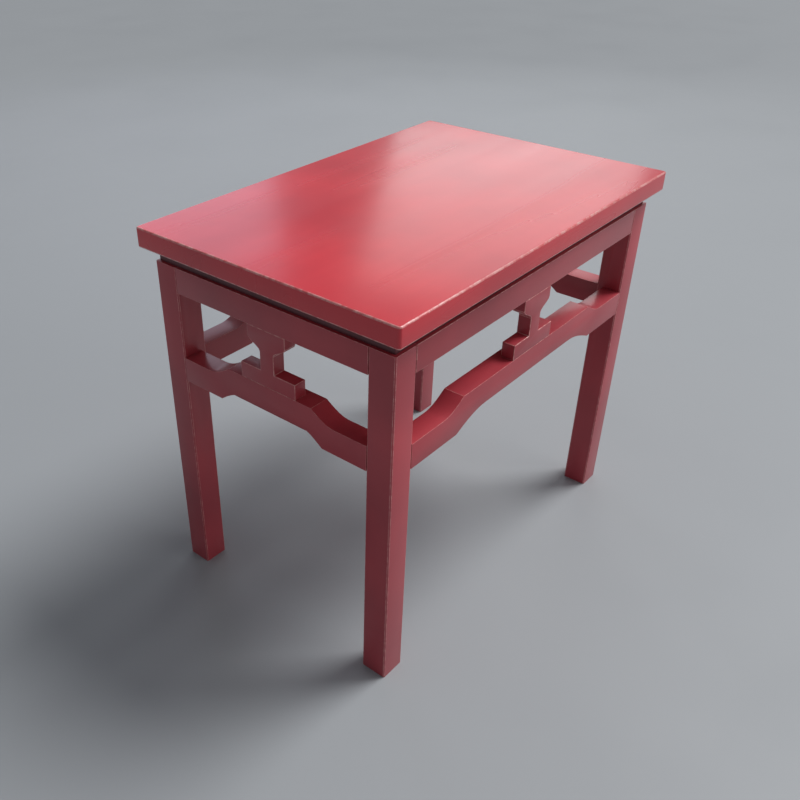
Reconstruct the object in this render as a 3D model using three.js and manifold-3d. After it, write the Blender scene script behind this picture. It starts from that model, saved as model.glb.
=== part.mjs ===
// A red-lacquered tea table: a framed top over a recessed waist, four straight square legs,
// and on each side an apron, a humpback stretcher and one strut between them.
// Millimetres, +Z up. The origin is on the floor under the middle of the top.
// +X runs along the long side and +Y along the short side.
import * as THREE from 'three';
import { mergeVertices } from 'three/addons/utils/BufferGeometryUtils.js';
import Module from 'manifold-3d';

const wasm = await Module();
wasm.setup();

// Overall sizes
const TABLE_LENGTH = 600;
const TABLE_WIDTH = 400;
const TABLE_HEIGHT = 520;

// Top: a mitred frame round a floating panel
const TOP_THICKNESS = 26;
const TOP_OVERHANG = 14;
const TOP_EDGE_CHAMFER = 2.5;
const FRAME_MEMBER_WIDTH = 62;
const PANEL_THICKNESS = 12;
const PANEL_TONGUE_LENGTH = 8;
const PANEL_TONGUE_THICKNESS = 6;
const BATTEN_WIDTH = 30;
const BATTEN_SPACING = 220;
const BATTEN_TENON_LENGTH = 14;
const BATTEN_TENON_THICKNESS = 8;

// Waist: strips between the top and the aprons, set back from the legs' outer faces
const WAIST_HEIGHT = 18;
const WAIST_RECESS = 4;
const WAIST_STRIP_THICKNESS = 10;

// Legs
const LEG_SECTION = 36;
const LEG_EDGE_CHAMFER = 1.5;
const LEG_TENON_THICKNESS = 6;
const LEG_TENON_WIDTH = 9;
const LEG_TENON_HEIGHT = 14;
const LEG_TENON_MARGIN = 1;

// Aprons
const APRON_HEIGHT = 34;
const APRON_THICKNESS = 28;

// Humpback stretchers: low ends, and a raised middle between two curved shoulders. The window
// is the clear height between the apron and the raised middle.
const STRETCHER_THICKNESS = 28;
const STRETCHER_END_HEIGHT = 34;
const STRETCHER_MIDDLE_HEIGHT = 32;
const STRETCHER_RISE = 17;
const WINDOW_HEIGHT = 76;
const SHOULDER_STEPS = 8;
// Distances from the middle of the side to the two ends of each shoulder's curve
const LONG_SHOULDER = { topOuter: 190, topInner: 151, bottomOuter: 161, bottomInner: 102 };
const SHORT_SHOULDER = { topOuter: 103, topInner: 68, bottomOuter: 84, bottomInner: 48 };

// Struts: a head under the apron, a neck, and a stepped base on the stretcher
const STRUT_THICKNESS = 18;
const STRUT_NECK_WIDTH = 22;
const STRUT_HEAD_WIDTH = 60;
const STRUT_HEAD_SIDE_HEIGHT = 15;
const STRUT_HEAD_CURVE_HEIGHT = 15;
const STRUT_HEAD_CURVE_STEPS = 6;
const STRUT_BASE_WIDTH = 88;
const STRUT_BASE_HEIGHT = 21;
const STRUT_TENON_WIDTH = 16;
const STRUT_TENON_THICKNESS = 8;
const STRUT_TENON_LENGTH = 10;

// Tenons of the aprons and the stretchers in the legs
const RAIL_TENON_LENGTH = 12;
const RAIL_TENON_THICKNESS = 10;
const RAIL_TENON_SETBACK = 9;
const RAIL_TENON_SHOULDER = 6;

// Clearances
const JOINT_GAP = 0.3;
const CUT_OVERRUN = 1;

// Levels and half sizes that follow
const topBottom = TABLE_HEIGHT - TOP_THICKNESS;
const apronTop = topBottom - WAIST_HEIGHT;
const apronBottom = apronTop - APRON_HEIGHT;
const stretcherMiddleTop = apronBottom - WINDOW_HEIGHT;
const stretcherMiddleBottom = stretcherMiddleTop - STRETCHER_MIDDLE_HEIGHT;
const stretcherEndBottom = stretcherMiddleBottom - STRETCHER_RISE;
const stretcherEndTop = stretcherEndBottom + STRETCHER_END_HEIGHT;
const panelBottom = TABLE_HEIGHT - PANEL_THICKNESS;
const tongueBottom = panelBottom;
const tongueTop = tongueBottom + PANEL_TONGUE_THICKNESS;
const legOuterX = TABLE_LENGTH / 2 - TOP_OVERHANG;
const legOuterY = TABLE_WIDTH / 2 - TOP_OVERHANG;
const stubSetback = WAIST_RECESS + WAIST_STRIP_THICKNESS;
const stubInner = LEG_SECTION - LEG_EDGE_CHAMFER;

// The two kinds of side: half its clear width between the legs, and how far out its face is
const SIDES = {
  long: { halfSpan: legOuterX - LEG_SECTION, face: legOuterY, shoulder: LONG_SHOULDER },
  short: { halfSpan: legOuterY - LEG_SECTION, face: legOuterX, shoulder: SHORT_SHOULDER },
};
// Each side's name, its kind and its turn about Z from the side that faces -Y
const SIDE_PLACES = [
  { name: 'front', kind: 'long', turn: 0 },
  { name: 'right', kind: 'short', turn: Math.PI / 2 },
  { name: 'back', kind: 'long', turn: Math.PI },
  { name: 'left', kind: 'short', turn: -Math.PI / 2 },
];

const lacquer = { color: 0x9c2b38, roughness: 0.32, metalness: 0 };
const darkLacquer = { color: 0x5a1d26, roughness: 0.45, metalness: 0 };
const bareWood = { color: 0x8a5a3c, roughness: 0.7, metalness: 0 };

const table = new THREE.Group();

function addMesh(name, geometry, finish, turn = 0) {
  const mesh = new THREE.Mesh(geometry, new THREE.MeshStandardMaterial(finish));
  mesh.name = name;
  mesh.rotation.z = turn;
  table.add(mesh);
}

// A block from its lowest to its highest corner
function block(x0, y0, z0, x1, y1, z1) {
  const geometry = new THREE.BoxGeometry(x1 - x0, y1 - y0, z1 - z0);
  geometry.translate((x0 + x1) / 2, (y0 + y1) / 2, (z0 + z1) / 2);
  return geometry;
}

function toSolid(geometry) {
  const bare = geometry.clone();
  bare.deleteAttribute('normal');
  bare.deleteAttribute('uv');
  const merged = mergeVertices(bare);
  const vertProperties = new Float32Array(merged.attributes.position.array);
  const triVerts = new Uint32Array(merged.index.array);
  return new wasm.Manifold(new wasm.Mesh({ numProp: 3, vertProperties, triVerts }));
}

function toGeometry(solid) {
  const mesh = solid.getMesh();
  const geometry = new THREE.BufferGeometry();
  geometry.setAttribute('position', new THREE.BufferAttribute(mesh.vertProperties, 3));
  geometry.setIndex(new THREE.BufferAttribute(mesh.triVerts, 1));
  return geometry;
}

function carve(body, cutters) {
  return cutters.reduce((solid, cutter) => solid.subtract(toSolid(cutter)), toSolid(body));
}

function join(solid, extras) {
  return extras.reduce((whole, extra) => whole.add(toSolid(extra)), solid);
}

// A straight bar with mitred ends along X. The profile's points are [setback, z], where setback
// is measured inwards from the frame's outer edge, which lies at y = -edge. The bar's ends
// follow the mitre, so each profile point ends at halfLength less its setback.
function mitredBar(profile, halfLength, edge) {
  const count = profile.length;
  const positions = [];
  for (const side of [-1, 1]) {
    for (const [setback, z] of profile) {
      positions.push(side * (halfLength - setback - JOINT_GAP / 2), setback - edge, z);
    }
  }
  const outline = profile.map(([setback, z]) => new THREE.Vector2(setback, z));
  const index = [];
  for (const [a, b, c] of THREE.ShapeUtils.triangulateShape(outline, [])) {
    index.push(a, c, b);
    index.push(count + a, count + b, count + c);
  }
  for (let i = 0; i < count; i += 1) {
    const j = (i + 1) % count;
    index.push(i, j, count + j);
    index.push(i, count + j, count + i);
  }
  const geometry = new THREE.BufferGeometry();
  geometry.setAttribute('position', new THREE.Float32BufferAttribute(positions, 3));
  geometry.setIndex(index);
  return geometry;
}

// An outline in X and Z, given as a list of [x, z], made into a board between two Y values
function board(points, yFront, yBack) {
  const shape = new THREE.Shape(points.map(([x, z]) => new THREE.Vector2(x, z)));
  const geometry = new THREE.ExtrudeGeometry(shape, { depth: yBack - yFront, bevelEnabled: false });
  geometry.rotateX(Math.PI / 2);
  geometry.translate(0, yBack, 0);
  return geometry;
}

// The points of a smooth S from one point to another, level at both ends
function easedCurve([x0, z0], [x1, z1], steps) {
  const points = [];
  for (let i = 0; i <= steps; i += 1) {
    const t = i / steps;
    const eased = (1 - Math.cos(Math.PI * t)) / 2;
    points.push([x0 + (x1 - x0) * t, z0 + (z1 - z0) * eased]);
  }
  return points;
}

// The points of a curve that leaves its first point level and ends its last one in a corner
function sweptCurve([x0, z0], [x1, z1], steps) {
  const points = [];
  for (let i = 0; i <= steps; i += 1) {
    const t = i / steps;
    points.push([x0 + (x1 - x0) * t, z0 + (z1 - z0) * (1 - Math.cos(Math.PI * t / 2))]);
  }
  return points;
}

// The mirror of an outline's right half, in reverse, so that both halves join
function mirrored(points) {
  return points.map(([x, z]) => [-x, z]).reverse();
}

// Top frame: long members run along X, and short members along Y
const topProfile = [
  [0, topBottom + TOP_EDGE_CHAMFER],
  [TOP_EDGE_CHAMFER, topBottom],
  [FRAME_MEMBER_WIDTH, topBottom],
  [FRAME_MEMBER_WIDTH, tongueBottom - JOINT_GAP],
  [FRAME_MEMBER_WIDTH - PANEL_TONGUE_LENGTH - JOINT_GAP, tongueBottom - JOINT_GAP],
  [FRAME_MEMBER_WIDTH - PANEL_TONGUE_LENGTH - JOINT_GAP, tongueTop + JOINT_GAP],
  [FRAME_MEMBER_WIDTH, tongueTop + JOINT_GAP],
  [FRAME_MEMBER_WIDTH, TABLE_HEIGHT],
  [TOP_EDGE_CHAMFER, TABLE_HEIGHT],
  [0, TABLE_HEIGHT - TOP_EDGE_CHAMFER],
];

// The leg's two top tenons in its own corner: one goes into each frame member. Values are
// setbacks from the leg's two outer faces, first along the side that the member runs with.
const legTenonNear = stubSetback + LEG_TENON_MARGIN;
const legTenonFar = stubInner - LEG_TENON_MARGIN - LEG_TENON_WIDTH;
const legTenonTop = topBottom + LEG_TENON_HEIGHT;

function memberMortises(halfLength, edge) {
  const acrossStart = TOP_OVERHANG + legTenonNear;
  const alongStart = TOP_OVERHANG + legTenonFar;
  return [-1, 1].map((end) => {
    const nearEnd = end * (halfLength - alongStart + JOINT_GAP);
    const farEnd = end * (halfLength - alongStart - LEG_TENON_WIDTH - JOINT_GAP);
    return block(
      Math.min(nearEnd, farEnd),
      acrossStart - JOINT_GAP - edge,
      topBottom - CUT_OVERRUN,
      Math.max(nearEnd, farEnd),
      acrossStart + LEG_TENON_THICKNESS + JOINT_GAP - edge,
      legTenonTop + JOINT_GAP,
    );
  });
}

// Battens cross under the panel, with a tenon in each long member
const battenTop = panelBottom;
const battenTenonBottom = topBottom + (battenTop - topBottom - BATTEN_TENON_THICKNESS) / 2;
const panelOpeningX = TABLE_LENGTH / 2 - FRAME_MEMBER_WIDTH;
const panelOpeningY = TABLE_WIDTH / 2 - FRAME_MEMBER_WIDTH;

function battenMortises() {
  return [-1, 1].map((side) => {
    const middle = side * BATTEN_SPACING / 2;
    return block(
      middle - BATTEN_WIDTH / 2 + RAIL_TENON_SHOULDER - JOINT_GAP,
      -panelOpeningY - BATTEN_TENON_LENGTH - JOINT_GAP,
      battenTenonBottom - JOINT_GAP,
      middle + BATTEN_WIDTH / 2 - RAIL_TENON_SHOULDER + JOINT_GAP,
      -panelOpeningY + CUT_OVERRUN,
      battenTenonBottom + BATTEN_TENON_THICKNESS + JOINT_GAP,
    );
  });
}

for (const { name, kind, turn } of SIDE_PLACES) {
  const isLong = kind === 'long';
  const halfLength = (isLong ? TABLE_LENGTH : TABLE_WIDTH) / 2;
  const edge = (isLong ? TABLE_WIDTH : TABLE_LENGTH) / 2;
  const cutters = memberMortises(halfLength, edge);
  if (isLong) {
    cutters.push(...battenMortises());
  }
  const member = carve(mitredBar(topProfile, halfLength, edge), cutters);
  addMesh(`top_frame_${name}`, toGeometry(member), lacquer, turn);
}

// The panel lies flush with the frame, and its tongue runs in the frame's groove
const tongueX = panelOpeningX + PANEL_TONGUE_LENGTH;
const tongueY = panelOpeningY + PANEL_TONGUE_LENGTH;
const panelBody = block(
  -panelOpeningX + JOINT_GAP, -panelOpeningY + JOINT_GAP, panelBottom,
  panelOpeningX - JOINT_GAP, panelOpeningY - JOINT_GAP, TABLE_HEIGHT,
);
const panelTongue = block(-tongueX, -tongueY, tongueBottom, tongueX, tongueY, tongueTop);
addMesh('top_panel', toGeometry(join(toSolid(panelBody), [panelTongue])), lacquer);

for (const side of [-1, 1]) {
  const middle = side * BATTEN_SPACING / 2;
  const body = block(
    middle - BATTEN_WIDTH / 2, -panelOpeningY, topBottom,
    middle + BATTEN_WIDTH / 2, panelOpeningY, battenTop,
  );
  const tenons = block(
    middle - BATTEN_WIDTH / 2 + RAIL_TENON_SHOULDER,
    -panelOpeningY - BATTEN_TENON_LENGTH,
    battenTenonBottom,
    middle + BATTEN_WIDTH / 2 - RAIL_TENON_SHOULDER,
    panelOpeningY + BATTEN_TENON_LENGTH,
    battenTenonBottom + BATTEN_TENON_THICKNESS,
  );
  const name = side < 0 ? 'panel_batten_left' : 'panel_batten_right';
  addMesh(name, toGeometry(join(toSolid(body), [tenons])), bareWood);
}

// Waist strips: plain bars, mitred at the corners in front of the legs' stubs
const waistProfile = [
  [0, apronTop],
  [WAIST_STRIP_THICKNESS, apronTop],
  [WAIST_STRIP_THICKNESS, topBottom],
  [0, topBottom],
];
for (const { name, kind, turn } of SIDE_PLACES) {
  const isLong = kind === 'long';
  const halfLength = (isLong ? legOuterX : legOuterY) - WAIST_RECESS;
  const edge = (isLong ? legOuterY : legOuterX) - WAIST_RECESS;
  addMesh(`waist_strip_${name}`, mitredBar(waistProfile, halfLength, edge), darkLacquer, turn);
}

// Legs, each drawn in its own corner with its outer faces at x = 0 and y = 0
function chamferedPost(section, chamfer, z0, z1) {
  const outline = [
    [chamfer, 0],
    [section - chamfer, 0],
    [section, chamfer],
    [section, section - chamfer],
    [section - chamfer, section],
    [chamfer, section],
    [0, section - chamfer],
    [0, chamfer],
  ];
  const shape = new THREE.Shape(outline.map(([x, y]) => new THREE.Vector2(x, y)));
  const geometry = new THREE.ExtrudeGeometry(shape, { depth: z1 - z0, bevelEnabled: false });
  geometry.translate(0, 0, z0);
  return geometry;
}

// Heights of the mortises for the apron and the stretcher
const railLevels = [
  { bottom: apronBottom + RAIL_TENON_SHOULDER, top: apronTop - RAIL_TENON_SHOULDER },
  { bottom: stretcherEndBottom + RAIL_TENON_SHOULDER, top: stretcherEndTop - RAIL_TENON_SHOULDER },
];

function legGeometry() {
  const post = chamferedPost(LEG_SECTION, LEG_EDGE_CHAMFER, 0, apronTop);
  const cutters = [];
  for (const { bottom, top } of railLevels) {
    const near = RAIL_TENON_SETBACK - JOINT_GAP;
    const far = RAIL_TENON_SETBACK + RAIL_TENON_THICKNESS + JOINT_GAP;
    const deep = LEG_SECTION - RAIL_TENON_LENGTH - JOINT_GAP;
    const open = LEG_SECTION + CUT_OVERRUN;
    cutters.push(block(deep, near, bottom - JOINT_GAP, open, far, top + JOINT_GAP));
    cutters.push(block(near, deep, bottom - JOINT_GAP, far, open, top + JOINT_GAP));
  }
  const stub = block(
    stubSetback + JOINT_GAP, stubSetback + JOINT_GAP, apronTop - CUT_OVERRUN,
    stubInner, stubInner, topBottom,
  );
  const tenonWithX = block(
    legTenonFar, legTenonNear, topBottom - CUT_OVERRUN,
    legTenonFar + LEG_TENON_WIDTH, legTenonNear + LEG_TENON_THICKNESS, legTenonTop,
  );
  const tenonWithY = block(
    legTenonNear, legTenonFar, topBottom - CUT_OVERRUN,
    legTenonNear + LEG_TENON_THICKNESS, legTenonFar + LEG_TENON_WIDTH, legTenonTop,
  );
  return join(carve(post, cutters), [stub, tenonWithX, tenonWithY]);
}

const cornerLeg = legGeometry();
const LEG_CORNERS = [
  { name: 'front_left', x: -1, y: -1 },
  { name: 'front_right', x: 1, y: -1 },
  { name: 'back_right', x: 1, y: 1 },
  { name: 'back_left', x: -1, y: 1 },
];
for (const { name, x, y } of LEG_CORNERS) {
  const placed = cornerLeg.scale([-x, -y, 1]).translate([x * legOuterX, y * legOuterY, 0]);
  addMesh(`leg_${name}`, toGeometry(placed), lacquer);
}

// Aprons, stretchers and struts of one side, drawn on the side that faces -Y
function railTenons(halfSpan, face, { bottom, top }) {
  const front = RAIL_TENON_SETBACK - face;
  return block(
    -halfSpan - RAIL_TENON_LENGTH, front, bottom,
    halfSpan + RAIL_TENON_LENGTH, front + RAIL_TENON_THICKNESS, top,
  );
}

// A strut's tenon and its mortise share this middle line behind the side's face
function strutPin(face, z0, z1, gap) {
  const middle = STRUT_THICKNESS / 2 - face;
  return block(
    -STRUT_TENON_WIDTH / 2 - gap, middle - STRUT_TENON_THICKNESS / 2 - gap, z0,
    STRUT_TENON_WIDTH / 2 + gap, middle + STRUT_TENON_THICKNESS / 2 + gap, z1,
  );
}

function apron({ halfSpan, face }) {
  const body = block(-halfSpan, -face, apronBottom, halfSpan, APRON_THICKNESS - face, apronTop);
  const mortiseTop = apronBottom + STRUT_TENON_LENGTH + JOINT_GAP;
  const mortise = strutPin(face, apronBottom - CUT_OVERRUN, mortiseTop, JOINT_GAP);
  return join(toSolid(body), [railTenons(halfSpan, face, railLevels[0])]).subtract(toSolid(mortise));
}

function stretcher({ halfSpan, face, shoulder }) {
  const topHalf = [
    ...sweptCurve(
      [shoulder.topOuter, stretcherEndTop], [shoulder.topInner, stretcherMiddleTop], SHOULDER_STEPS,
    ).reverse(),
    [halfSpan, stretcherEndTop],
  ];
  const bottomHalf = [
    ...sweptCurve(
      [shoulder.bottomInner, stretcherMiddleBottom],
      [shoulder.bottomOuter, stretcherEndBottom],
      SHOULDER_STEPS,
    ),
    [halfSpan, stretcherEndBottom],
  ];
  const outline = [
    ...mirrored(bottomHalf),
    ...bottomHalf,
    ...topHalf.slice().reverse(),
    ...mirrored(topHalf).reverse(),
  ];
  const body = board(outline, -face, STRETCHER_THICKNESS - face);
  const mortiseBottom = stretcherMiddleTop - STRUT_TENON_LENGTH - JOINT_GAP;
  const mortise = strutPin(face, mortiseBottom, stretcherMiddleTop + CUT_OVERRUN, JOINT_GAP);
  return join(toSolid(body), [railTenons(halfSpan, face, railLevels[1])]).subtract(toSolid(mortise));
}

function strut({ face }) {
  const neck = STRUT_NECK_WIDTH / 2;
  const baseTop = stretcherMiddleTop + STRUT_BASE_HEIGHT;
  const headSideBottom = apronBottom - STRUT_HEAD_SIDE_HEIGHT;
  const neckTop = headSideBottom - STRUT_HEAD_CURVE_HEIGHT;
  const rightHalf = [
    [STRUT_BASE_WIDTH / 2, stretcherMiddleTop],
    [STRUT_BASE_WIDTH / 2, baseTop],
    [neck, baseTop],
    [neck, neckTop],
    ...easedCurve(
      [neckTop, neck], [headSideBottom, STRUT_HEAD_WIDTH / 2], STRUT_HEAD_CURVE_STEPS,
    ).slice(1).map(([z, x]) => [x, z]),
    [STRUT_HEAD_WIDTH / 2, apronBottom],
  ];
  const body = board([...rightHalf, ...mirrored(rightHalf)], -face, STRUT_THICKNESS - face);
  const lowerTenon = strutPin(face, stretcherMiddleTop - STRUT_TENON_LENGTH, baseTop, 0);
  const upperTenon = strutPin(face, headSideBottom, apronBottom + STRUT_TENON_LENGTH, 0);
  return join(toSolid(body), [lowerTenon, upperTenon]);
}

for (const { name, kind, turn } of SIDE_PLACES) {
  const side = SIDES[kind];
  addMesh(`apron_${name}`, toGeometry(apron(side)), lacquer, turn);
  addMesh(`stretcher_${name}`, toGeometry(stretcher(side)), lacquer, turn);
  addMesh(`strut_${name}`, toGeometry(strut(side)), lacquer, turn);
}

export default table;
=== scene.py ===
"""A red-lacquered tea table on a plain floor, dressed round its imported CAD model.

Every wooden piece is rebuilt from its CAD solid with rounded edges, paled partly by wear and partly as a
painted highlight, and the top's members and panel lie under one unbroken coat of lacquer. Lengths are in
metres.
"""
import math

import bmesh
import bpy
from mathutils import Matrix, Vector


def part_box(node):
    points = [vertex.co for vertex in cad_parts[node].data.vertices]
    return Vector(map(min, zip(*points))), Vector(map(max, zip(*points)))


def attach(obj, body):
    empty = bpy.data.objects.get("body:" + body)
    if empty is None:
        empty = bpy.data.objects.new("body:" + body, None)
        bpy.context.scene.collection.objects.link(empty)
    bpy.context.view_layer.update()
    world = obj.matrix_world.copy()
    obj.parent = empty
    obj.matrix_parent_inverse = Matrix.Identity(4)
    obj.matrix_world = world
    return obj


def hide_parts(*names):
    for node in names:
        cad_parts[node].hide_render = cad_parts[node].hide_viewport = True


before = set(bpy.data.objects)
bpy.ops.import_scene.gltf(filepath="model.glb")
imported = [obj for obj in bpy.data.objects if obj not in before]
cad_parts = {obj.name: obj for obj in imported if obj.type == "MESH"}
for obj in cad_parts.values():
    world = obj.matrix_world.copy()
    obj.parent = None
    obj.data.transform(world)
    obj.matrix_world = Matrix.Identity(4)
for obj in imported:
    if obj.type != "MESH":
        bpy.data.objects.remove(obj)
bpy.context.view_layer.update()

MM = 0.001

# The height of the tabletop above the floor, as the lights see it
TOP_LEVEL = 520 * MM

# Camera: the photograph's place and angles about the table's origin, and its centre in the 800 pixel frame
IMAGE_WIDTH = 800
CAMERA_PLACE = Vector((-0.9069, -0.6466, 0.9181))
CAMERA_AZIMUTH = -48.486
CAMERA_ELEVATION = 33.756
CAMERA_ROLL = -0.553
FOCAL_LENGTH_PX = 889.25
OPTICAL_CENTRE_X_PX = 329.85
OPTICAL_CENTRE_Y_PX = 419.32
SENSOR_WIDTH = 36.0

# Daylight: heading from +X towards +Y, elevation and angular spread in degrees, and strength
DAYLIGHT_HEADING = -24
DAYLIGHT_ELEVATION = 52
DAYLIGHT_SPREAD = 28
DAYLIGHT_STRENGTH = 2.9

# Key: a square lamp in front of the long side, with its power in watts
KEY_PLACE = (0.9, -2.6, 1.5)
KEY_TARGET = (0, 0, 0.3)
KEY_SIZE = 1.6
KEY_POWER = 14

# Soft boxes that the top reflects: one elevation, distance and height for both, and for each its heading,
# width, power and colour
BOX_ELEVATION = 22
BOX_DISTANCE = 3.0
BOX_HEIGHT = 1.5
SOFT_BOXES = {
    "box_right": (27, 1.3, 9, (1, 1, 1)),
    "box_left": (60, 0.9, 5, (0.82, 0.82, 1.0)),
}

# The room's even light
ROOM_COLOUR = (0.80, 0.84, 0.90, 1)
ROOM_STRENGTH = 0.28

# The top: its rounded corners and edges, and the recess that its frame leaves under the panel
TOP_CORNER_RADIUS = 4 * MM
TOP_EDGE_RADIUS = 2.0 * MM
TOP_LOWER_RADIUS = 2.2 * MM
RECESS_CORNER_RADIUS = 1 * MM
FRAME_MEMBER_WIDTH = 62 * MM
PANEL_THICKNESS = 12 * MM
CORNER_STEPS = 8
EDGE_STEPS = 5

# Edges of the other pieces, and the angles between two faces that count as sharp and as flat
WOOD_EDGE_RADIUS = 0.8 * MM
WAIST_EDGE_RADIUS = 0.5 * MM
EDGE_SEGMENTS = 3
SHARP_ANGLE = math.radians(20)
FLAT_ANGLE = math.radians(1)
WELD_DISTANCE = 0.01 * MM

# Colours, as linear red, green and blue
LACQUER_DEEP = (0.340, 0.036, 0.050, 1)
LACQUER_BRIGHT = (0.480, 0.050, 0.066, 1)
# Paler lacquer for the rounded edges: partly wear, partly a painted highlight where the edges catch the
# light
LACQUER_WORN_AND_HIGHLIGHT = (0.720, 0.330, 0.310, 1)
# The top's lacquer, a brighter and redder copy of the woodwork's: painted light on the top
TOP_PAINTED_LIGHT_DEEP = (0.500, 0.022, 0.036, 1)
TOP_PAINTED_LIGHT_BRIGHT = (0.660, 0.028, 0.042, 1)
# The waist's lacquer, darkened far below the woodwork's red: painted shade of the top's overhang on the
# recessed strip
WAIST_PAINTED_SHADE_DEEP = (0.075, 0.010, 0.015, 1)
WAIST_PAINTED_SHADE_BRIGHT = (0.130, 0.018, 0.026, 1)
WOOD_DARK = (0.130, 0.055, 0.028, 1)
WOOD_PALE = (0.300, 0.150, 0.080, 1)
FLOOR_COLOUR = (0.30, 0.315, 0.33, 1)

# Stretches of space that make grain run along one axis
EVEN = (1, 1, 1)
GRAIN_AXES = {"x": (0.06, 1, 1), "y": (1, 0.06, 1), "z": (1, 1, 0.06)}
BATTEN_GRAIN = (1, 0.08, 1)

# How fine each pattern of noise is
CLOUD_SCALE = 7.0
SMEAR_SCALE = 14.0
GRAIN_SCALE = 60.0
CHIP_SCALE = 130.0
SPECK_SCALE = 900.0
WOOD_GRAIN_SCALE = 90.0
WOOD_PORE_SCALE = 420.0
FLOOR_CLOUD_SCALE = 3.0

# Spans of noise over which a pattern goes from its low end to its high end
BROAD_SPAN = (0.3, 0.7)
GRAIN_SPAN = (0.35, 0.75)
CHIP_SPAN = (0.40, 0.60)

# What a pattern's two ends give
GRAIN_SHADE = (0.0, 0.22)
# How far the edges pale: partly wear, partly a painted highlight
CHIP_WEAR_AND_HIGHLIGHT = (0.25, 0.95)
WOOD_ROUGHNESS = (0.55, 0.8)
FLOOR_ROUGHNESS = (0.55, 0.7)

# Lacquer: roughness where it is glossiest, how much a smear adds, and the clear coat
TOP_ROUGHNESS = 0.20
WOODWORK_ROUGHNESS = 0.36
WAIST_ROUGHNESS = 0.45
SMEAR_ROUGHNESS = 0.12
COAT_WEIGHT = 0.25
COAT_ROUGHNESS = 0.16

# Bumps: strength and depth
GRAIN_BUMP = (0.10, 0.4 * MM)
SPECK_BUMP = (0.06, 0.15 * MM)
CLOUD_BUMP = (0.05, 2 * MM)
WOOD_GRAIN_BUMP = (0.25, 0.5 * MM)
WOOD_PORE_BUMP = (0.2, 0.2 * MM)

FLOOR_SIZE = 30.0


def new_material(name):
    material = bpy.data.materials.new(name)
    material.use_nodes = True
    tree = material.node_tree
    return material, tree, tree.nodes["Principled BSDF"]


def add_node(tree, kind, **values):
    node = tree.nodes.new(kind)
    for key, value in values.items():
        setattr(node, key, value)
    return node


def mapped_coordinates(tree, scale):
    """Object coordinates, stretched by a scale along each axis."""
    coordinates = add_node(tree, "ShaderNodeTexCoord")
    mapping = add_node(tree, "ShaderNodeMapping")
    mapping.inputs["Scale"].default_value = scale
    tree.links.new(coordinates.outputs["Object"], mapping.inputs["Vector"])
    return mapping.outputs["Vector"]


def noise(tree, vector, scale, detail, roughness=0.5):
    node = add_node(tree, "ShaderNodeTexNoise")
    node.inputs["Scale"].default_value = scale
    node.inputs["Detail"].default_value = detail
    node.inputs["Roughness"].default_value = roughness
    tree.links.new(vector, node.inputs["Vector"])
    return node.outputs["Fac"]


def ramp(tree, value, span, low_colour, high_colour):
    """A colour that goes from low to high while the value crosses its span."""
    node = add_node(tree, "ShaderNodeValToRGB")
    first, last = node.color_ramp.elements
    first.position, last.position = span
    first.color, last.color = low_colour, high_colour
    tree.links.new(value, node.inputs["Fac"])
    return node.outputs["Color"]


def map_range(tree, value, span, ends):
    """A number that goes from one end to the other while the value crosses its span."""
    node = add_node(tree, "ShaderNodeMapRange")
    node.inputs["From Min"].default_value, node.inputs["From Max"].default_value = span
    node.inputs["To Min"].default_value, node.inputs["To Max"].default_value = ends
    tree.links.new(value, node.inputs["Value"])
    return node.outputs["Result"]


def blend_towards(tree, factor, colour, other):
    """A colour socket blended towards one plain colour."""
    node = add_node(tree, "ShaderNodeMix", data_type="RGBA")
    tree.links.new(factor, node.inputs["Factor"])
    tree.links.new(colour, node.inputs["A"])
    node.inputs["B"].default_value = other
    return node.outputs["Result"]


def multiply(tree, first, second):
    node = add_node(tree, "ShaderNodeMath", operation="MULTIPLY")
    tree.links.new(first, node.inputs[0])
    tree.links.new(second, node.inputs[1])
    return node.outputs["Value"]


def add_bumps(tree, shader, layers):
    """Stacks bumps, each a height with its strength and depth, into the shader's normal."""
    last = None
    for height, (strength, depth) in layers:
        node = add_node(tree, "ShaderNodeBump")
        node.inputs["Strength"].default_value = strength
        node.inputs["Distance"].default_value = depth
        tree.links.new(height, node.inputs["Height"])
        if last is not None:
            tree.links.new(last, node.inputs["Normal"])
        last = node.outputs["Normal"]
    tree.links.new(last, shader.inputs["Normal"])


def lacquer_material(name, deep, bright, worn_and_highlit, gloss, grain_axis):
    """Brushed-on lacquer: soft colour clouds, faint grain showing through, and paler edges, partly wear and
    partly a painted highlight.
    """
    material, tree, shader = new_material(name)
    plain = mapped_coordinates(tree, EVEN)
    along_grain = mapped_coordinates(tree, grain_axis)
    clouds = noise(tree, plain, CLOUD_SCALE, detail=3.0)
    grain = noise(tree, along_grain, GRAIN_SCALE, detail=5.0, roughness=0.6)
    specks = noise(tree, plain, SPECK_SCALE, detail=2.0)
    chips = noise(tree, plain, CHIP_SCALE, detail=4.0, roughness=0.65)
    smears = noise(tree, along_grain, SMEAR_SCALE, detail=3.0)

    colour = ramp(tree, clouds, BROAD_SPAN, deep, bright)
    colour = blend_towards(tree, map_range(tree, grain, GRAIN_SPAN, GRAIN_SHADE), colour, deep)
    # The rounded edges pale towards the edge colour: partly real wear, partly a painted highlight
    edge = add_node(tree, "ShaderNodeAttribute", attribute_name="edge_wear_and_highlight").outputs["Fac"]
    wear_and_highlight = multiply(tree, edge, map_range(tree, chips, CHIP_SPAN, CHIP_WEAR_AND_HIGHLIGHT))
    colour = blend_towards(tree, wear_and_highlight, colour, worn_and_highlit)
    tree.links.new(colour, shader.inputs["Base Color"])

    roughness = map_range(tree, smears, BROAD_SPAN, (gloss, gloss + SMEAR_ROUGHNESS))
    tree.links.new(roughness, shader.inputs["Roughness"])
    shader.inputs["Coat Weight"].default_value = COAT_WEIGHT
    shader.inputs["Coat Roughness"].default_value = COAT_ROUGHNESS
    add_bumps(tree, shader, [(grain, GRAIN_BUMP), (specks, SPECK_BUMP), (clouds, CLOUD_BUMP)])
    return material


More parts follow.
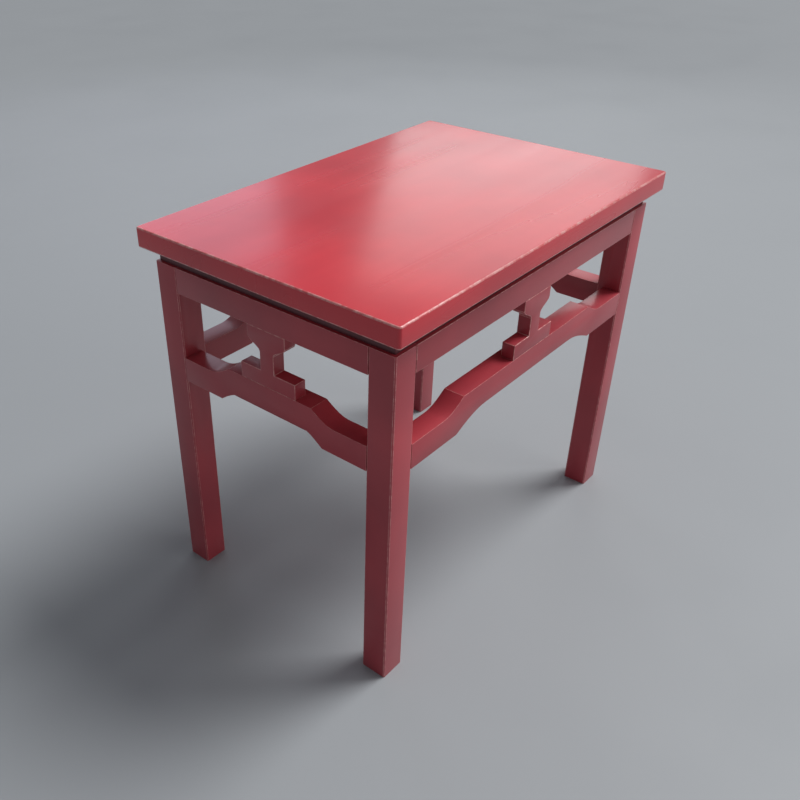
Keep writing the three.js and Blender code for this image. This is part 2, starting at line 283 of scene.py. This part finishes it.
def wood_material(name):
    """Planed, unfinished wood with long grain and fine pores."""
    material, tree, shader = new_material(name)
    along_grain = mapped_coordinates(tree, BATTEN_GRAIN)
    grain = noise(tree, along_grain, WOOD_GRAIN_SCALE, detail=6.0, roughness=0.6)
    pores = noise(tree, along_grain, WOOD_PORE_SCALE, detail=3.0, roughness=0.6)
    colour = ramp(tree, grain, BROAD_SPAN, WOOD_DARK, WOOD_PALE)
    tree.links.new(colour, shader.inputs["Base Color"])
    tree.links.new(map_range(tree, pores, BROAD_SPAN, WOOD_ROUGHNESS), shader.inputs["Roughness"])
    add_bumps(tree, shader, [(grain, WOOD_GRAIN_BUMP), (pores, WOOD_PORE_BUMP)])
    return material


def floor_material():
    """Matt grey with the faintest change of sheen."""
    material, tree, shader = new_material("floor")
    clouds = noise(tree, mapped_coordinates(tree, EVEN), FLOOR_CLOUD_SCALE, detail=3.0)
    tree.links.new(map_range(tree, clouds, BROAD_SPAN, FLOOR_ROUGHNESS), shader.inputs["Roughness"])
    shader.inputs["Base Color"].default_value = FLOOR_COLOUR
    return material


def build_materials():
    """The lacquers of the top, brighter as painted light, of the woodwork by the axis that its grain runs
    along, and of the waist, darkened as painted shade, and the bare wood."""
    along_x = GRAIN_AXES["x"]
    made = {
        # The top takes the brighter copy of the lacquer: painted light
        "top": lacquer_material("lacquer_top_painted_light", TOP_PAINTED_LIGHT_DEEP, TOP_PAINTED_LIGHT_BRIGHT, LACQUER_WORN_AND_HIGHLIGHT, TOP_ROUGHNESS, along_x),
        "waist": lacquer_material(
            "lacquer_waist_painted_shade", WAIST_PAINTED_SHADE_DEEP, WAIST_PAINTED_SHADE_BRIGHT, LACQUER_DEEP, WAIST_ROUGHNESS, along_x,
        ),
        "wood": wood_material("bare_wood"),
    }
    for axis, stretch in GRAIN_AXES.items():
        made[axis] = lacquer_material(
            f"lacquer_grain_{axis}", LACQUER_DEEP, LACQUER_BRIGHT, LACQUER_WORN_AND_HIGHLIGHT, WOODWORK_ROUGHNESS, stretch,
        )
    return made


def link_object(name, data):
    made = bpy.data.objects.new(name, data)
    bpy.context.scene.collection.objects.link(made)
    return made


def finish_mesh(name, bm, material):
    """Makes an object of a bmesh, shaded smooth across all but its sharp edges."""
    mesh = bpy.data.meshes.new(name)
    bm.to_mesh(mesh)
    bm.free()
    mesh.materials.append(material)
    mesh.shade_smooth()
    mesh.set_sharp_from_angle(angle=SHARP_ANGLE)
    piece = link_object(name, mesh)
    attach(piece, "root")
    return piece


def rounded_ring(half_x, half_y, radius, z):
    """A rectangle's outline with round corners, as points in order."""
    points = []
    for quarter in range(4):
        start = quarter * math.pi / 2
        sign_x = 1 if quarter in (0, 3) else -1
        sign_y = 1 if quarter in (0, 1) else -1
        for step in range(CORNER_STEPS + 1):
            angle = start + step / CORNER_STEPS * math.pi / 2
            x = sign_x * (half_x - radius) + radius * math.cos(angle)
            y = sign_y * (half_y - radius) + radius * math.sin(angle)
            points.append(Vector((x, y, z)))
    return points


def edge_rings(half_x, half_y, radius, z, upward):
    """The rings of a rounded edge, from the face at height z to the side."""
    rings = []
    for step in range(EDGE_STEPS + 1):
        angle = step / EDGE_STEPS * math.pi / 2
        inset = radius * (1 - math.sin(angle))
        level = z - upward * radius * (1 - math.cos(angle))
        rings.append(rounded_ring(half_x - inset, half_y - inset, TOP_CORNER_RADIUS - inset, level))
    return rings


def build_top(material):
    """The top's lacquered skin over its frame and panel, hollow under the panel."""
    names = [f"top_frame_{side}" for side in ("front", "right", "back", "left")]
    low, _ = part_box(names[0])
    _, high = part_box(names[2])
    upper = edge_rings(high.x, high.y, TOP_EDGE_RADIUS, high.z, 1)
    lower = edge_rings(high.x, high.y, TOP_LOWER_RADIUS, low.z, -1)[::-1]
    inner_x = high.x - FRAME_MEMBER_WIDTH
    inner_y = high.y - FRAME_MEMBER_WIDTH
    recess = [
        rounded_ring(inner_x, inner_y, RECESS_CORNER_RADIUS, level)
        for level in (low.z, high.z - PANEL_THICKNESS)
    ]
    bm = bmesh.new()
    wear_and_highlight = bm.faces.layers.float.new("edge_wear_and_highlight")
    rings = [[bm.verts.new(point) for point in ring] for ring in upper + lower + recess]
    # The rounded edge rings are marked to pale: partly wear, partly a painted highlight
    worn_and_highlit = {*range(EDGE_STEPS), *range(len(upper), len(upper) + EDGE_STEPS)}
    count = len(rings[0])
    for index, (ring, following) in enumerate(zip(rings[:-1], rings[1:])):
        for i in range(count):
            j = (i + 1) % count
            face = bm.faces.new((ring[i], following[i], following[j], ring[j]))
            face[wear_and_highlight] = 1.0 if index in worn_and_highlit else 0.0
    bm.faces.new(rings[0])
    bm.faces.new(rings[-1][::-1])
    bmesh.ops.recalc_face_normals(bm, faces=bm.faces)
    piece = finish_mesh("lacquered_top", bm, material)
    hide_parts(*names, "top_panel")


def build_from_node(node, material, radius=WOOD_EDGE_RADIUS):
    """A node's solid with its sharp edges rounded, and those edges marked to pale, partly for wear and
    partly as a painted highlight.
    """
    bm = bmesh.new()
    bm.from_mesh(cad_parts[node].data)
    bmesh.ops.remove_doubles(bm, verts=bm.verts, dist=WELD_DISTANCE)
    bmesh.ops.dissolve_limit(bm, angle_limit=FLAT_ANGLE, verts=bm.verts, edges=bm.edges)
    wear_and_highlight = bm.faces.layers.float.new("edge_wear_and_highlight")
    sharp = [edge for edge in bm.edges if edge.is_manifold and edge.calc_face_angle(0) > SHARP_ANGLE]
    made = bmesh.ops.bevel(
        bm, geom=sharp, offset=radius, segments=EDGE_SEGMENTS, profile=0.5, affect="EDGES",
        clamp_overlap=True,
    )
    for face in made["faces"]:
        face[wear_and_highlight] = 1.0
    piece = finish_mesh(f"{node}_piece", bm, material)
    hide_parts(node)


def build_pieces(materials):
    build_top(materials["top"])
    for side, grain in (("front", "x"), ("right", "y"), ("back", "x"), ("left", "y")):
        build_from_node(f"apron_{side}", materials[grain])
        build_from_node(f"stretcher_{side}", materials[grain])
        build_from_node(f"strut_{side}", materials["z"])
        # The waist strips take the darkened lacquer: painted shade under the top
        build_from_node(f"waist_strip_{side}", materials["waist"], WAIST_EDGE_RADIUS)
    for corner in ("front_left", "front_right", "back_right", "back_left"):
        build_from_node(f"leg_{corner}", materials["z"])
    for end in ("left", "right"):
        build_from_node(f"panel_batten_{end}", materials["wood"])


def build_camera():
    azimuth = math.radians(CAMERA_AZIMUTH)
    elevation = math.radians(CAMERA_ELEVATION)
    roll = math.radians(CAMERA_ROLL)
    back = Vector((
        math.sin(azimuth) * math.cos(elevation),
        -math.cos(azimuth) * math.cos(elevation),
        math.sin(elevation),
    ))
    level = Vector((math.cos(azimuth), math.sin(azimuth), 0))
    upright = back.cross(level)
    right = level * math.cos(roll) + upright * math.sin(roll)
    up = upright * math.cos(roll) - level * math.sin(roll)
    data = bpy.data.cameras.new("camera")
    data.sensor_fit = "HORIZONTAL"
    data.sensor_width = SENSOR_WIDTH
    data.lens = FOCAL_LENGTH_PX / IMAGE_WIDTH * SENSOR_WIDTH
    data.shift_x = (IMAGE_WIDTH / 2 - OPTICAL_CENTRE_X_PX) / IMAGE_WIDTH
    data.shift_y = (OPTICAL_CENTRE_Y_PX - IMAGE_WIDTH / 2) / IMAGE_WIDTH
    camera = link_object("camera", data)
    turn = Matrix((right, up, back)).transposed().to_4x4()
    camera.matrix_world = Matrix.Translation(CAMERA_PLACE) @ turn
    bpy.context.scene.camera = camera


def build_floor():
    """A plain floor that keeps the table's shadow."""
    bm = bmesh.new()
    bmesh.ops.create_grid(bm, x_segments=1, y_segments=1, size=FLOOR_SIZE)
    mesh = bpy.data.meshes.new("floor")
    bm.to_mesh(mesh)
    bm.free()
    mesh.materials.append(floor_material())
    link_object("floor", mesh)


def direction_of(heading, elevation):
    """The way towards a light, by heading from +X towards +Y and elevation, in degrees."""
    turn, rise = math.radians(heading), math.radians(elevation)
    flat = math.cos(rise)
    return Vector((flat * math.cos(turn), flat * math.sin(turn), math.sin(rise)))


def area_light(name, place, target, width, height, power, colour=(1, 1, 1)):
    """A rectangular lamp at a place, turned to a target."""
    data = bpy.data.lights.new(name, "AREA")
    data.shape = "RECTANGLE"
    data.size = width
    data.size_y = height
    data.energy = power
    data.color = colour
    light = link_object(name, data)
    turn = (Vector(target) - Vector(place)).to_track_quat("-Z", "Y").to_matrix().to_4x4()
    light.matrix_world = Matrix.Translation(place) @ turn


def build_daylight():
    data = bpy.data.lights.new("daylight", "SUN")
    data.energy = DAYLIGHT_STRENGTH
    data.angle = math.radians(DAYLIGHT_SPREAD)
    daylight = link_object("daylight", data)
    towards = direction_of(DAYLIGHT_HEADING, DAYLIGHT_ELEVATION)
    daylight.matrix_world = towards.to_track_quat("Z", "Y").to_matrix().to_4x4()


def build_room():
    world = bpy.data.worlds.new("room")
    bpy.context.scene.world = world
    world.use_nodes = True
    background = world.node_tree.nodes["Background"]
    background.inputs["Color"].default_value = ROOM_COLOUR
    background.inputs["Strength"].default_value = ROOM_STRENGTH


def build_light():
    """Soft daylight from the right, a weak key on the long side, two soft boxes that the top reflects,
    and a dim pale room."""
    build_daylight()
    area_light("key", KEY_PLACE, KEY_TARGET, KEY_SIZE, KEY_SIZE, KEY_POWER)
    top_middle = Vector((0, 0, TOP_LEVEL))
    for name, (heading, width, power, colour) in SOFT_BOXES.items():
        place = top_middle + BOX_DISTANCE * direction_of(heading, BOX_ELEVATION)
        area_light(name, place, top_middle, width, BOX_HEIGHT, power, colour)
    build_room()


build_camera()
build_pieces(build_materials())
build_floor()
build_light()
bpy.context.scene.view_settings.view_transform = "Standard"
